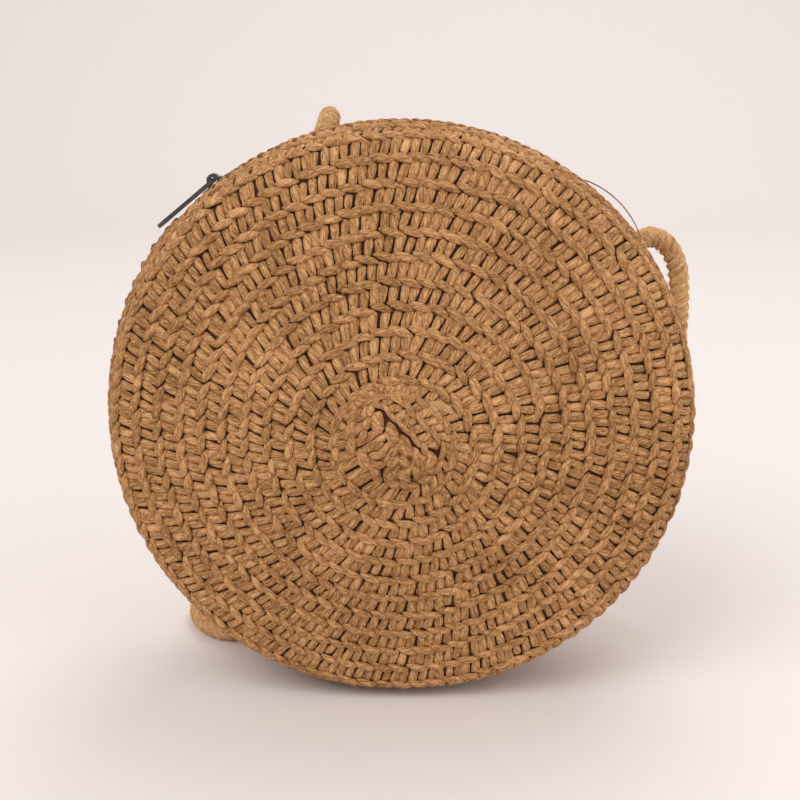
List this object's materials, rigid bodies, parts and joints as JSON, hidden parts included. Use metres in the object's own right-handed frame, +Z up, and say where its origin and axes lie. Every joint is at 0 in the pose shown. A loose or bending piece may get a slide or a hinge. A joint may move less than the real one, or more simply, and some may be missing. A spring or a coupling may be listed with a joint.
{
  "type": "round woven cross-body bag",
  "caption": "Round woven straw cross-body bag: two sewn braid dishes, a curved zip along the top of the rim, a cloth lining and a rope shoulder strap.",
  "frame": {"origin": "on the floor, under the middle of the bag itself, strap left out", "axes": "+Z up, -Y the way the bag's front panel faces, +X to the right seen from the front"},
  "size_m": [0.187, 0.1674, 0.1794],
  "materials": {
    "straw": "woven paper straw, matte",
    "thread": "waxed sewing thread",
    "zip_tape": "woven tape, matte",
    "zip_teeth": "moulded, satin",
    "zip_metal": "dark gunmetal, satin",
    "lining": "plain cotton, matte",
    "rope": "twisted paper rope, fuzzy and matte"
  },
  "bodies": {
    "bag": {"front_shell": "straw", "back_shell": "straw", "rim_thread": "thread", "front_tape": "zip_tape", "back_tape": "zip_tape", "front_teeth": "zip_teeth", "back_teeth": "zip_teeth", "front_top_stop": "zip_metal", "back_top_stop": "zip_metal", "bottom_stop": "zip_metal", "front_lining": "lining", "back_lining": "lining", "slip_pocket": "lining", "pocket_hem": "lining", "right_knot": "rope", "left_knot": "rope", "strap_right_run": "rope", "strap_coil": "rope", "coil_tie": "thread", "strap_left_run": "rope"},
    "slider": {"slider_body": "zip_metal", "slider_bail": "zip_metal"},
    "pull": {"pull_tab": "zip_metal"}
  },
  "joints": [
    {"name": "slider_travel", "type": "hinge", "parent": "bag", "child": "slider", "pos_m": [0, 0, 0.08819], "axis": [0, 1, 0], "range_deg": [0, 118], "deforming": ["front_teeth", "back_teeth"]},
    {"name": "pull_swing", "type": "hinge", "parent": "slider", "child": "pull", "pos_m": [-0.05559, 0, 0.15935], "axis": [0, 1, 0], "range_deg": [0, 175]}
  ]
}
